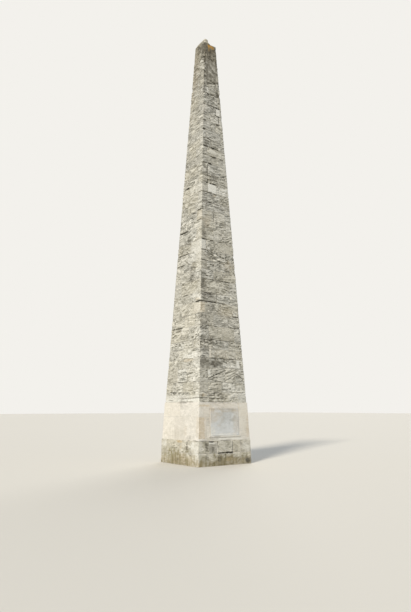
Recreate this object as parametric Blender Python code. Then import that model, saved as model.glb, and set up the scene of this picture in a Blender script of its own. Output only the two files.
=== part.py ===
"""A stone obelisk: a square, tapering shaft laid in courses on a low plinth.

Metres, +Z up. The origin is the middle of the underside, on the ground. The
face with the tablet looks along -Y and is called front here, -X is left.
Every course is one block across the whole width, lying on the one below.
"""

import math
from collections import namedtuple

import bmesh
import bpy
from mathutils import Matrix, Vector

# Plinth: the low step that the rest stands on
PLINTH_WIDTH = 1.964
PLINTH_BATTER = 0.020
PLINTH_COURSES = (0.340, 0.346)

# Base: two tall pale courses that carry the tablet
BASE_LEDGE = 0.011
BASE_BATTER = 0.043
BASE_COURSES = (0.670, 0.420)

# Shaft: course heights from the base up, as the bed joints show them
SHAFT_SETBACK = 0.013
SHOULDER_WIDTH = 0.516
SHAFT_COURSES = (
    0.284, 0.300, 0.410, 0.280, 0.280, 0.270, 0.430, 0.360, 0.380, 0.280,
    0.430, 0.320, 0.280, 0.340, 0.350, 0.430, 0.230, 0.340, 0.280, 0.350,
    0.330, 0.320, 0.380, 0.280, 0.320, 0.300, 0.330, 0.330, 0.310, 0.310,
    0.440, 0.260, 0.260, 0.410, 0.470,
)

# Capstone: one block, with its own stretch of shaft and a blunt pyramid on it
CAP_SHAFT_HEIGHT = 0.638
CAP_RISE = 0.345
CAP_RINGS = ((0.74, 0.38), (0.46, 0.69), (0.20, 0.91), (0.07, 1.00))

# Joints and wear
BED_JOINT = 0.008
BED_RECESS = 0.012
SEAT_GAP = 0.0003
EDGE_WEAR = 0.006
ARRIS_WEAR = 0.020
ARRIS_STEPS = 2
FACET_WEAR = 0.070

# Tablet: a slab let into the front of both base courses, with a sill below it
TABLET_WIDTH = 1.030
TABLET_INSET = 0.085
TABLET_PROUD = 0.016
TABLET_HEAD = 0.175
BORDER_WIDTH = 0.030
BORDER_HEIGHT = 0.006
SILL_LENGTH = 1.170
SILL_THICKNESS = 0.040
SILL_RISE = 0.108
SILL_INSET = 0.110
SILL_PROUD = 0.024
SILL_WEAR = 0.006

# Open joints: mortar washed out under a course, from one place on a face to
# another. The places are along +X on the front and along +Y on the left.
OPEN_JOINT_HEIGHT = 0.016
OPEN_JOINT_DEPTH = 0.050
OPEN_JOINTS = (
    ("plinth_course_2", "front", -0.24, 0.29),
    ("shaft_course_05", "front", -0.60, 0.47),
    ("shaft_course_10", "front", -0.80, 0.22),
    ("shaft_course_10", "left", -0.80, -0.50),
    ("shaft_course_17", "left", 0.11, 0.58),
    ("shaft_course_21", "front", -0.52, -0.15),
    ("shaft_course_22", "front", -0.34, 0.29),
    ("shaft_course_22", "left", 0.20, 0.42),
    ("shaft_course_31", "front", -0.38, 0.32),
)

# Spalls: shell-shaped pieces gone from an arris, each at a share of its
# course's height, with the corner it is on and how deep it bites
SPALL_RADIUS = 0.160
SPALLS = (
    ("shaft_course_05", (-1, -1), 0.45, 0.045),
    ("shaft_course_09", (-1, -1), 0.12, 0.040),
    ("shaft_course_29", (1, -1), 0.80, 0.030),
    ("shaft_course_32", (1, -1), 0.40, 0.035),
    ("shaft_course_33", (-1, 1), 0.45, 0.040),
)
SPALL_SEGMENTS = 16
SPALL_RINGS = 10

# The break: the right-hand side of the pyramid is gone, down to the shoulder.
# A rough ledge is left, which starts at a point on the front face, turns off
# to the right and rises a little, with a rounded root against the stump.
BREAK_START = -0.090
BREAK_BELOW_SHOULDER = 0.045
BREAK_ROOT = 0.130
BREAK_ROOT_STEPS = 4
BREAK_TURN = math.radians(37)
BREAK_RISE = math.radians(8)

# Each course block with where its foot is and how wide it is there
Course = namedtuple("Course", "part foot_z foot_width batter height")


def clear_scene():
    for item in list(bpy.data.objects):
        bpy.data.objects.remove(item, do_unlink=True)


def make_collection(name):
    collection = bpy.data.collections.new(name)
    bpy.context.scene.collection.children.link(collection)
    return collection


def stone(name, colour, roughness):
    """A plain stone material; colour is linear."""
    material = bpy.data.materials.new(name)
    material.use_nodes = True
    shader = material.node_tree.nodes["Principled BSDF"]
    shader.inputs["Base Color"].default_value = (*colour, 1.0)
    shader.inputs["Roughness"].default_value = roughness
    shader.inputs["Metallic"].default_value = 0.0
    return material


def add_part(name, bm, material, parent, place):
    """Turn a bmesh into a named part, standing at a place under its parent."""
    mesh = bpy.data.meshes.new(name)
    bm.to_mesh(mesh)
    bm.free()
    mesh.materials.append(material)
    part = bpy.data.objects.new(name, mesh)
    part.parent = parent
    part.location = place
    parts.objects.link(part)
    return part


def add_cutter(name, bm, parent, place):
    mesh = bpy.data.meshes.new(name)
    bm.to_mesh(mesh)
    bm.free()
    cutter = bpy.data.objects.new(name, mesh)
    cutter.parent = parent
    cutter.location = place
    cutter.hide_render = True
    cutter.display_type = "WIRE"
    cutters.objects.link(cutter)
    return cutter


def cut(part, cutter):
    modifier = part.modifiers.new(cutter.name, "BOOLEAN")
    modifier.operation = "DIFFERENCE"
    modifier.solver = "EXACT"
    modifier.object = cutter


def box(low, high):
    """A box between two corners, as a bmesh."""
    bm = bmesh.new()
    bmesh.ops.create_cube(bm, size=1.0)
    low = Vector(low)
    high = Vector(high)
    bmesh.ops.scale(bm, verts=bm.verts, vec=high - low)
    bmesh.ops.translate(bm, verts=bm.verts, vec=(low + high) / 2)
    return bm


def facing(bm, direction):
    """The largest face that looks along a direction."""
    bm.normal_update()
    looking = [face for face in bm.faces if face.normal.dot(Vector(direction)) > 0.99]
    return max(looking, key=lambda face: face.calc_area())


def upright_edges(bm, height):
    """The four arrises of a block that has just been made."""
    arrises = []
    for edge in bm.edges:
        rise = abs(edge.verts[0].co.z - edge.verts[1].co.z)
        if rise > height / 2:
            arrises.append(edge)
    return arrises


def battered_block(foot_width, top_width, height, front_facet):
    """A square block from z = 0 up, with worn arrises.

    With front_facet, the arris between front and left is a broad flat.
    """
    bm = bmesh.new()
    bmesh.ops.create_cone(
        bm,
        cap_ends=True,
        segments=4,
        radius1=foot_width / math.sqrt(2),
        radius2=top_width / math.sqrt(2),
        depth=height,
    )
    quarter = Matrix.Rotation(math.radians(45), 3, "Z")
    bmesh.ops.rotate(bm, verts=bm.verts, cent=(0, 0, 0), matrix=quarter)
    bmesh.ops.translate(bm, verts=bm.verts, vec=(0, 0, height / 2))
    arrises = upright_edges(bm, height)
    arrises.sort(key=lambda edge: edge.verts[0].co.x + edge.verts[0].co.y)
    if front_facet:
        bmesh.ops.bevel(
            bm,
            geom=[arrises.pop(0)],
            offset=FACET_WEAR,
            segments=1,
            affect="EDGES",
        )
    bmesh.ops.bevel(
        bm,
        geom=arrises,
        offset=ARRIS_WEAR,
        segments=ARRIS_STEPS,
        profile=0.5,
        affect="EDGES",
    )
    return bm


def soften_top(bm):
    """Wear the edge round the top face, which rises by EDGE_WEAR."""
    top = facing(bm, (0, 0, 1))
    bmesh.ops.inset_individual(bm, faces=[top], thickness=EDGE_WEAR, depth=EDGE_WEAR)


def lay_bed(bm):
    """Wear the edge round the underside and set the mortar bed back under it."""
    under = facing(bm, (0, 0, -1))
    bmesh.ops.inset_individual(bm, faces=[under], thickness=EDGE_WEAR, depth=EDGE_WEAR)
    under = facing(bm, (0, 0, -1))
    bmesh.ops.inset_individual(bm, faces=[under], thickness=BED_RECESS - EDGE_WEAR)
    under = facing(bm, (0, 0, -1))
    grown = bmesh.ops.extrude_discrete_faces(bm, faces=[under])
    bed = grown["faces"][0]
    bmesh.ops.translate(bm, verts=bed.verts, vec=(0, 0, -BED_JOINT))


def course_block(name, foot_z, foot_width, height, batter, material, on_ground, front_facet):
    """One course: mortar bed, battered stone and a worn upper edge."""
    below = 0.0 if on_ground else SEAT_GAP + BED_JOINT + EDGE_WEAR
    stone_height = height - below - EDGE_WEAR
    stone_width = foot_width - 2 * batter * below
    top_width = stone_width - 2 * batter * stone_height
    bm = battered_block(stone_width, top_width, stone_height, front_facet)
    soften_top(bm)
    if not on_ground:
        lay_bed(bm)
    part = add_part(name, bm, material, ground, (0, 0, foot_z + below))
    courses[name] = Course(part, foot_z, foot_width, batter, height)


def lay_courses(stem, digits, heights, foot_z, foot_width, batter, material, facets=0):
    """Lay courses one on another; return where the last one ends and its width.

    The first course on the ground has no mortar bed, and the last ones, as
    many as facets says, have the worn front arris.
    """
    z = foot_z
    width = foot_width
    for number, height in enumerate(heights, start=1):
        name = stem + str(number).zfill(digits)
        worn = number > len(heights) - facets
        course_block(name, z, width, height, batter, material, z == 0, worn)
        z += height
        width -= 2 * batter * height
    return z, width


def make_capstone(foot_z, foot_width, batter, material):
    """The top block: shaft sides to the shoulder, then a blunt pyramid."""
    below = SEAT_GAP + BED_JOINT + EDGE_WEAR
    stone_height = CAP_SHAFT_HEIGHT - below
    stone_width = foot_width - 2 * batter * below
    bm = battered_block(stone_width, SHOULDER_WIDTH, stone_height, True)
    lay_bed(bm)
    share = 1.0
    for ring_share, rise_share in CAP_RINGS:
        top = facing(bm, (0, 0, 1))
        grown = bmesh.ops.extrude_discrete_faces(bm, faces=[top])
        ring = grown["faces"][0].verts
        shrink = ring_share / share
        bmesh.ops.scale(bm, verts=ring, vec=(shrink, shrink, 1.0))
        for vert in ring:
            vert.co.z = stone_height + rise_share * CAP_RISE
        share = ring_share
    part = add_part("capstone", bm, material, ground, (0, 0, foot_z + below))
    courses["capstone"] = Course(part, foot_z, foot_width, batter, CAP_SHAFT_HEIGHT)


def bite(part, point, outward, depth, radius):
    """Take a shell-shaped bite out of a part, depth deep at a point."""
    bm = bmesh.new()
    bmesh.ops.create_uvsphere(
        bm,
        u_segments=SPALL_SEGMENTS,
        v_segments=SPALL_RINGS,
        radius=radius,
    )
    centre = Vector(point) + Vector(outward).normalized() * (radius - depth)
    cut(part, add_cutter(part.name + "_spall", bm, ground, centre))


def spall_arris(name, corner, share, depth):
    course = courses[name]
    rise = share * course.height
    half = course.foot_width / 2 - course.batter * rise
    point = (corner[0] * half, corner[1] * half, course.foot_z + rise)
    bite(course.part, point, (*corner, 0.0), depth, SPALL_RADIUS)


def break_cap():
    """Break the pyramid's right-hand side off along a ledge with a round root."""
    course = courses["capstone"]
    reach = 2 * SHOULDER_WIDTH
    bm = box((0, -reach, 0), (reach, reach, reach))
    root = [edge for edge in bm.edges if all(v.co.x == v.co.z == 0 for v in edge.verts)]
    bmesh.ops.bevel(
        bm,
        geom=root,
        offset=BREAK_ROOT,
        segments=BREAK_ROOT_STEPS,
        profile=0.5,
        affect="EDGES",
    )
    ledge_z = course.foot_z + CAP_SHAFT_HEIGHT - BREAK_BELOW_SHOULDER
    start = (BREAK_START, -SHOULDER_WIDTH / 2, ledge_z)
    cutter = add_cutter("cap_break", bm, ground, start)
    cutter.rotation_euler = (BREAK_RISE, 0, -BREAK_TURN)
    cut(course.part, cutter)


def open_joint(name, face, start, end):
    """Rake the mortar out under a course, along part of the front or left face."""
    course = courses[name]
    half = course.foot_width / 2
    outer = -half - OPEN_JOINT_DEPTH
    inner = -half + OPEN_JOINT_DEPTH
    low_z = course.foot_z - SEAT_GAP
    high_z = course.foot_z + OPEN_JOINT_HEIGHT
    if face == "front":
        bm = box((start, outer, low_z), (end, inner, high_z))
    else:
        bm = box((outer, start, low_z), (inner, end, high_z))
    cutter = add_cutter(name + "_open_joint_" + face, bm, ground, (0, 0, 0))
    cut(course.part, cutter)


def add_empty(name, place, lean=0.0):
    """An empty that other pieces are placed from, leaning back by an angle."""
    empty = bpy.data.objects.new(name, None)
    empty.location = place
    empty.rotation_euler = (-lean, 0, 0)
    parts.objects.link(empty)
    return empty


def fit_tablet(foot_z, foot_width, tablet_material, sill_material):
    """Set the tablet and its sill into a pocket in the leaning front face.

    Both are placed from an empty on that face, with z up along the face and
    y into the stone, so they follow the batter.
    """
    lean = math.atan(BASE_BATTER)
    face_height = sum(BASE_COURSES) / math.cos(lean)
    seat = add_empty("tablet_seat", (0, -foot_width / 2, foot_z), lean)
    seat.parent = ground

    sill_top = SILL_RISE + SILL_THICKNESS
    sill_half = SILL_LENGTH / 2
    bm = box((-sill_half, -SILL_PROUD, SILL_RISE), (sill_half, SILL_INSET, sill_top))
    front = facing(bm, (0, -1, 0))
    bmesh.ops.bevel(bm, geom=list(front.edges), offset=SILL_WEAR, segments=1, affect="EDGES")
    add_part("tablet_sill", bm, sill_material, seat, (0, 0, 0))

    tablet_foot = sill_top + SEAT_GAP
    tablet_top = face_height - TABLET_HEAD
    tablet_half = TABLET_WIDTH / 2
    bm = box((-tablet_half, -TABLET_PROUD, tablet_foot), (tablet_half, TABLET_INSET, tablet_top))
    front = facing(bm, (0, -1, 0))
    bmesh.ops.inset_individual(bm, faces=[front], thickness=BORDER_WIDTH)
    field = facing(bm, (0, -1, 0))
    sunk = bmesh.ops.extrude_discrete_faces(bm, faces=[field])
    bmesh.ops.translate(bm, verts=sunk["faces"][0].verts, vec=(0, BORDER_HEIGHT, 0))
    add_part("tablet", bm, tablet_material, seat, (0, 0, 0))

    outside = -2 * SILL_PROUD
    low = (-sill_half - SEAT_GAP, outside, SILL_RISE - SEAT_GAP)
    high = (sill_half + SEAT_GAP, SILL_INSET + SEAT_GAP, sill_top + SEAT_GAP)
    sill_pocket = add_cutter("sill_pocket", box(low, high), seat, (0, 0, 0))
    cut(courses["base_course_1"].part, sill_pocket)

    low = (-tablet_half - SEAT_GAP, outside, sill_top - SILL_THICKNESS / 2)
    high = (tablet_half + SEAT_GAP, TABLET_INSET + SEAT_GAP, tablet_top + SEAT_GAP)
    tablet_pocket = add_cutter("tablet_pocket", box(low, high), seat, (0, 0, 0))
    for name in ("base_course_1", "base_course_2"):
        cut(courses[name].part, tablet_pocket)


clear_scene()
parts = make_collection("obelisk")
cutters = make_collection("obelisk_cutters")
ground = add_empty("obelisk", (0, 0, 0))
courses = {}

plinth_stone = stone("plinth_stone", (0.36, 0.34, 0.25), 0.92)
base_stone = stone("base_stone", (0.58, 0.53, 0.44), 0.88)
shaft_stone = stone("shaft_stone", (0.42, 0.39, 0.33), 0.93)
tablet_stone = stone("tablet_stone", (0.36, 0.38, 0.40), 0.70)
cap_stone = stone("cap_stone", (0.38, 0.32, 0.24), 0.94)

base_foot, plinth_top_width = lay_courses(
    "plinth_course_", 1, PLINTH_COURSES, 0, PLINTH_WIDTH, PLINTH_BATTER, plinth_stone
)
base_width = plinth_top_width - 2 * BASE_LEDGE
shaft_foot, base_top_width = lay_courses(
    "base_course_", 1, BASE_COURSES, base_foot, base_width, BASE_BATTER, base_stone
)
shaft_width = base_top_width - 2 * SHAFT_SETBACK
shaft_height = sum(SHAFT_COURSES) + CAP_SHAFT_HEIGHT
shaft_batter = (shaft_width - SHOULDER_WIDTH) / 2 / shaft_height
cap_foot, cap_width = lay_courses(
    "shaft_course_", 2, SHAFT_COURSES, shaft_foot, shaft_width, shaft_batter, shaft_stone, facets=1
)
make_capstone(cap_foot, cap_width, shaft_batter, cap_stone)

fit_tablet(base_foot, base_width, tablet_stone, base_stone)
for joint in OPEN_JOINTS:
    open_joint(*joint)
for spall in SPALLS:
    spall_arris(*spall)
break_cap()
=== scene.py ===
import itertools
import math
from collections import namedtuple

import bpy
import numpy as np
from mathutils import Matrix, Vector


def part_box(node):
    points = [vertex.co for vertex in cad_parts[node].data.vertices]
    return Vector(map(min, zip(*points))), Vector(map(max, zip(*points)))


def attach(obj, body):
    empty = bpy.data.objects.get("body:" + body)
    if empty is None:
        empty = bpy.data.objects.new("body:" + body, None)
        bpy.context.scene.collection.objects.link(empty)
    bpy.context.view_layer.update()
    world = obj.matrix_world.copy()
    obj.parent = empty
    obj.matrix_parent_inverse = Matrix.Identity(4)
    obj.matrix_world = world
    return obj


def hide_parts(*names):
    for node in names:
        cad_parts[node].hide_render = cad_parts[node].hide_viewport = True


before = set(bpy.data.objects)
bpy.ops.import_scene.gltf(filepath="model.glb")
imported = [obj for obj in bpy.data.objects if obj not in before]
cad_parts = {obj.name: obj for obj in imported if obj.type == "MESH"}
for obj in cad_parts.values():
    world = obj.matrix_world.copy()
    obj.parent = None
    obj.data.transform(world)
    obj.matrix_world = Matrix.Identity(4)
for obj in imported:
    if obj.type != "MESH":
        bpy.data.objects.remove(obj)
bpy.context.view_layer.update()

# Plinth: the low step under everything, two courses of squared oolitic limestone
# laid in lime mortar. Rain splashes it, so it is streaked with green algae and
# soil low down, and the mortar is washed out of the bed between the courses.
#
# The four faces are numbered the way they follow each other round the obelisk:
# 0 front (-Y, with the tablet), 1 right (+X), 2 back (+Y), 3 left (-X). A place
# on a face is u, measured from its middle to the right of someone facing it.
RIGHT = np.array([(1, 0), (0, 1), (-1, 0), (0, -1)], float)
OUT = np.array([(0, -1), (1, 0), (0, 1), (-1, 0)], float)
FRONT, SIDE, BACK, LEFT = 0, 1, 2, 3

# Sizes are in metres, but the tables of joints, gaps, stains, patches and scars
# are in centimetres and percent. First the stones, the joints and their mortar.
# Quoins are shares of the width of a face. Two that come too close share a joint.
STONE_DEPTH = 0.090
STONE_LENGTH = 0.52
LEAST_HEIGHT = 0.02
LONG_QUOIN = 0.34
SHORT_QUOIN = 0.19
QUOINS_MEET = 0.12
BED = 0.008
PERPEND = 0.006
MORTAR_DEPTH = 0.002
MORTAR_LAP = 0.004
MORTAR_STEP = 0.03

# The mesh of a face is finer beside a joint and round an arris
GRID_ACROSS = 0.020
GRID_UP = 0.012
JOINT_STEPS = np.array((0, 0.004, 0.010, 0.018))
ARRIS_STEP = 0.013

# An open joint: how deep and high it is washed out, the stretch in which it closes
# again, and how far the edges beside it are worn and sooty
OPEN_DEPTH = 0.060
OPEN_HEIGHT = 0.015
OPEN_RAMP = 0.035
OPEN_EDGE = 0.014
OPEN_SOOT = 0.028

# How soft and how ragged the edge of a patch is
PATCH_BLUR = 0.008
PATCH_RAGGED = 0.010

# How each kind of surface has weathered: the height of the bedding ridges, of
# broad lumps, the depth of the pits, the round of the edges, and how far a stone
# may stand back from its neighbours
Wear = namedtuple("Wear", "ridge lump pit edge setback")
WEAR = {
    "sawn": Wear(0.0008, 0.0015, 0.002, 0.003, 0.001),
    "rubbed": Wear(0.0030, 0.0050, 0.008, 0.006, 0.002),
    "worn": Wear(0.0092, 0.0050, 0.012, 0.004, 0.002),
    "pitted": Wear(0.0095, 0.0065, 0.022, 0.006, 0.003),
}

# What each point of a stone carries for its material: the stone's own number and
# tint, how far down in a hollow it is, for its soot and painted shade, and what
# has settled on it, where a few dark marks are painted shade and a few pale ones
# painted highlight
MARKS = ("lot", "tint", "hollow_soot_and_shade", "soot", "pale", "ochre", "algae", "lichen")

# Noise is read from a table of chance values, in a slice of its own for each seed
# and each stone. Large primes scatter the cells of space over the table.
CHANCE_COUNT = 65536
CELL_PRIMES = (73856093, 19349663, 83492791)
SEED_APART = 31.7
STONES_APART = 9
chance = np.random.default_rng(7).uniform(-1, 1, CHANCE_COUNT)


def noise(points, size, seed):
    """Smooth chance values from -1 to 1 that change over about one size, in metres."""
    scaled = points / size + SEED_APART * seed
    cell = np.floor(scaled).astype(np.int64)
    part = scaled - cell
    part = part * part * (3 - 2 * part)
    total = np.zeros(points.shape[:-1])
    for corner in itertools.product((0, 1), repeat=3):
        at = (cell + corner) * CELL_PRIMES
        mixed = at[..., 0] ^ at[..., 1] ^ at[..., 2]
        share = np.where(np.array(corner) == 1, part, 1 - part).prod(-1)
        total += chance[mixed & (CHANCE_COUNT - 1)] * share
    return total


def smooth_step(low, high, value):
    share = np.clip((value - low) / (high - low), 0, 1)
    return share * share * (3 - 2 * share)


def spread(length, first, last, step):
    """Places from 0 to length: the given close ones at both ends, even ones between."""
    fit = min(1.0, 0.4 * length / max(first[-1], last[-1]))
    first = first * fit
    last = last * fit
    middle = length - first[-1] - last[-1]
    count = max(1, round(middle / step))
    even = first[-1] + middle * np.arange(1, count) / count
    return np.concatenate([first, even, length - last[::-1]])


def arris_steps(radius):
    reach = 1.1 * radius
    return np.linspace(0, reach, max(4, math.ceil(reach / ARRIS_STEP) + 1))


class Course:
    """One course of the real masonry, gathered stone by stone into one mesh.

    arris has the round of the four corners, from the one at the left-hand end of
    face 0. gaps are open joints: the number of the course over one, its face, from
    where to where, and how open it is. pocket is a face, a half width, and the z it
    is cut from and to.
    """

    def __init__(self, node, number, batter, arris, gaps, pocket=None):
        low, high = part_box(node)
        self.node = node
        self.number = number
        self.foot = low.z
        self.top = high.z
        self.foot_half = high.x
        self.batter = batter
        self.arris = arris
        self.gaps = [row[1:] for row in gaps if row[0] == number]
        self.gaps_above = [row[1:] for row in gaps if row[0] == number + 1]
        self.pocket = pocket
        self.stains = ()
        self.patches = ()
        self.scars = ()
        self.spalls = ()
        self.rng = np.random.default_rng(int(self.foot * 1000) + 11)
        self.points = []
        self.faces = []
        self.kinds = []
        self.marks = {name: [] for name in MARKS}
        self.total = 0

    def half(self, z):
        return self.foot_half - self.batter * (z - self.foot)

    def add(self, points, faces, kind, marks):
        self.points.append(points)
        self.faces.extend([[self.total + at for at in face] for face in faces])
        self.kinds.extend([kind] * len(faces))
        for name in MARKS:
            self.marks[name].append(np.broadcast_to(marks.get(name, 0.0), len(points)))
        self.total += len(points)


def columns(course, start, end):
    """The upright lines of a stone's face, from one joint to another.

    Each has its face, its u at mid height, how far it follows the arris as the
    shaft narrows, its distance along the face, and that to the nearer joint.
    """
    mid = course.half((course.foot + course.top) / 2)
    face, place = start
    spans = []
    while True:
        last = face == end[0] and place < end[1]
        spans.append((face, place, end[1] if last else mid, place == -mid, not last))
        if last:
            break
        face = (face + 1) % 4
        place = -mid
    rows = []
    run = 0.0
    for face, low, high, from_arris, to_arris in spans:
        first = arris_steps(course.arris[face]) if from_arris else JOINT_STEPS
        last = arris_steps(course.arris[(face + 1) % 4]) if to_arris else JOINT_STEPS
        places = spread(high - low, first, last, GRID_ACROSS)
        share = places / (high - low)
        pull = share * to_arris - (1 - share) * from_arris
        skip = 1 if from_arris else 0
        for at, follow in list(zip(places, pull))[skip:]:
            rows.append((face, low + at, follow, run + at))
        run += high - low
    table = np.array(rows)
    to_joint = np.minimum(table[:, 3], run - table[:, 3])
    return table[:, 0].astype(int), table[:, 1], table[:, 2], table[:, 3], to_joint


def place_on(face, u, out, z):
    """World points from a face number, u, the distance out from the axis and z."""
    flat = RIGHT[face] * u[..., None] + OUT[face] * out[..., None]
    return np.concatenate([flat, np.broadcast_to(z, u.shape)[..., None]], -1)


def openness(face, u, z, gaps):
    """How open a bed joint is, from 0 to 1: where it is listed, and a little by chance.

    Each face and each joint reads the noise in a place far from the others.
    """
    level = np.full(u.shape, round(float(z), 2) * 7)
    by_chance = noise(np.stack([u + 3.1 * face, level, level * 0], -1), 0.15, 17)
    share = 0.25 * smooth_step(0.50, 0.85, by_chance)
    for gap_face, start, end, strength in gaps:
        inside = np.clip(np.minimum(u - start, end - u) / OPEN_RAMP + 0.5, 0, 1)
        share = np.maximum(share, np.where(face == gap_face, inside * strength, 0))
    return share


def rows_of(table):
    """The rows of a table, each with its key in front, and its numbers in metres.

    Tables are written in centimetres, and how strong or open a thing is in percent.
    """
    return [(*key, *(value / 100 for value in row)) for key, rows in table.items() for row in rows]


def weather(face, u, z, stains, patches=(), scars=()):
    """The marks on points of the faces, and how deep cracks and holes go.

    A stain is a mark, a face, its middle u and z, its half width and height, and
    its strength. A patch is a mark, a face, u from and to, z from and to, strength.
    A scar is a mark, a face, the u and z of its two ends, its half width and depth.
    Besides its MARKS, a place can be smooth, where a stone is sound or renewed, or
    pit, where frost has eaten deeper. Rain that washes a place takes its soot away.
    A few of the dark rows are painted shadow and shade, and a few of the pale ones
    painted highlight.
    """
    marks = {name: np.zeros(z.shape) for name in (*MARKS[3:], "smooth", "pit", "deep")}
    lowest = z.min()
    highest = z.max()
    here = np.stack([u, z, u * 0], -1)
    coarse = noise(here, 0.08, 3) * 0.35
    ragged = noise(here, 0.05, 19)
    for name, at_face, at_u, at_z, wide, high, strength in stains:
        if highest > at_z - 1.4 * high and lowest < at_z + 1.4 * high:
            away = np.hypot((u - at_u) / wide, (z - at_z) / high) + coarse
            share = (1 - smooth_step(0.35, 1.15, away)) * strength
            marks[name] += np.where(face == at_face, share, 0)
    for name, at_face, from_u, to_u, from_z, to_z, strength in patches:
        if highest > from_z and lowest < to_z:
            inside = np.minimum(np.minimum(u - from_u, to_u - u), np.minimum(z - from_z, to_z - z))
            share = smooth_step(-PATCH_BLUR, PATCH_BLUR, inside + PATCH_RAGGED * ragged) * strength
            marks[name] += np.where(face == at_face, share, 0)
    marks["soot"] *= 1 - 0.7 * np.clip(marks["pale"], 0, 1)
    for name, at_face, from_u, from_z, to_u, to_z, wide, deep in scars:
        if highest > min(from_z, to_z) - wide and lowest < max(from_z, to_z) + wide:
            run = np.array((to_u - from_u, to_z - from_z))
            along = ((u - from_u) * run[0] + (z - from_z) * run[1]) / (run**2).sum()
            along = np.clip(along, 0, 1)
            away = np.hypot(u - from_u - along * run[0], z - from_z - along * run[1])
            share = 1 - smooth_step(0.4 * wide, wide, away * (1 + 0.5 * ragged))
            share = np.where(face == at_face, share, 0)
            marks[name] = np.maximum(marks[name], 0.85 * share)
            marks["deep"] = np.maximum(marks["deep"], deep * share)
    return {name: np.clip(value, 0, 1) for name, value in marks.items()}


def close_grid(rows, cols, backs):
    """The faces of a solid whose front is a grid and whose back is two rows of points."""
    number = np.arange(rows * cols).reshape(rows, cols)
    quads = np.stack([number[:-1, :-1], number[:-1, 1:], number[1:, 1:], number[1:, :-1]], -1)
    faces = quads.reshape(-1, 4).tolist()
    low = [rows * cols + at for at in range(backs)]
    high = [at + backs for at in low]
    for at in range(backs - 1):
        faces.append([low[at + 1], low[at], high[at], high[at + 1]])
    faces.append([*number[0, ::-1].tolist(), *low])
    faces.append([*number[-1].tolist(), *high[::-1]])
    faces.append([*number[:, 0].tolist(), high[0], low[0]])
    faces.append([*number[::-1, -1].tolist(), low[-1], high[-1]])
    return faces


def erode(here, wear, lean):
    """How far the weather has eaten in at each place, in metres, and where the pits are."""
    kind = WEAR[wear]
    bedded = here.copy()
    bedded[..., 0] = here[..., 0] * math.cos(lean) + here[..., 1] * math.sin(lean)
    bedded[..., 1] = here[..., 1] * math.cos(lean) - here[..., 0] * math.sin(lean)
    ridges = 0.85 * noise(bedded, np.array((0.230, 0.036, 1)), 1)
    ridges = ridges + noise(bedded, np.array((0.105, 0.027, 1)), 2)
    lumps = noise(here, np.array((0.14, 0.09, 1)), 3) + 0.6 * noise(here, 0.045, 4)
    pits = smooth_step(0.30, 0.75, noise(bedded, np.array((0.058, 0.034, 1)), 6))
    rough = 0.8 + 0.5 * noise(here, 0.35, 8)
    pits = pits * np.clip(rough, 0, 1)
    return (kind.ridge * ridges + 0.7 * kind.lump * lumps) * rough + kind.pit * pits, pits


def hollow_soot_and_shade_of(depth, wear):
    """Which places are hollows, from 0 to 1, from how far they are eaten in: how dark
    they are painted, partly for soot and partly as painted shade.
    """
    kind = WEAR[wear]
    return np.clip(0.5 + 1.2 * depth / (kind.ridge + kind.lump + 0.4 * kind.pit), 0, 1)


def round_off(to_side, to_end, radius):
    """How far a worn edge lies back, at a distance from the side and from the end."""
    beside = np.clip(1 - to_side / radius, 0, 1)
    over = np.clip(1 - to_end / radius, 0, 1)
    corner = np.clip(np.hypot(beside, over), 0, 1)
    return radius * (1 - np.sqrt(1 - corner**2))


def split_off(points, rough, spalls):
    """Push the points that lie inside a lost shell back to where it broke off."""
    for centre, outward, radius in spalls:
        toward = points - centre
        along = -(toward * outward).sum(-1)
        within = (toward**2).sum(-1) - (radius * (1 + 0.03 * rough)) ** 2
        move = np.where(within < 0, np.sqrt(np.clip(along**2 - within, 0, None)) - along, 0)
        points = points - outward * move[..., None]
    return points


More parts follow.
